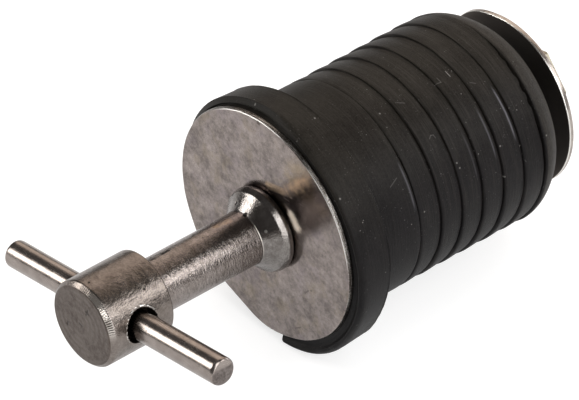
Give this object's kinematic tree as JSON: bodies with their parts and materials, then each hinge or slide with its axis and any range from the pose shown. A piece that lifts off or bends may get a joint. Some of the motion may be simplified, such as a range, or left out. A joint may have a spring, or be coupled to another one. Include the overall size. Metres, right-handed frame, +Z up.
{
  "type": "expansion plug",
  "caption": "Rubber expansion plug: turning the T-handle draws the rear disc forward and squeezes the ringed sleeve until it seals a round drain hole.",
  "frame": {"origin": "on the plug's axis, in the plane of the rubber flange's rear face, which seats on the rim of the hole", "axes": "+X along the plug's axis from the handle to the rear disc, +Z up with the plug lying on its side, +Y across"},
  "size_m": [0.0837, 0.0446, 0.0382],
  "materials": {
    "turned_steel": "turned and partly polished",
    "sheet_steel": "rolled sheet, half bright",
    "sleeve_rubber": "matt moulded",
    "nut_steel": "plain"
  },
  "bodies": {
    "sleeve": {"rubber_sleeve": "sleeve_rubber", "front_washer": "sheet_steel"},
    "handle": {"t_handle": "turned_steel", "tommy_bar": "turned_steel"},
    "rear_plate": {"rear_washer": "sheet_steel", "hex_nut": "nut_steel", "weld_bead_upper": "nut_steel", "weld_bead_lower": "nut_steel"}
  },
  "joints": [
    {"name": "handle_turn", "type": "hinge", "parent": "sleeve", "child": "handle", "pos_m": [0, 0, 0], "axis": [1, 0, 0], "range_deg": [0, 2520]},
    {"name": "plate_draw", "type": "slide", "parent": "sleeve", "child": "rear_plate", "axis": [-1, 0, 0], "range_m": [0, 0.0089], "deforming": ["rubber_sleeve"]}
  ],
  "couplings": [
    {"joint": "plate_draw", "follows": "handle_turn", "m_per_rad": 0.00020213}
  ]
}
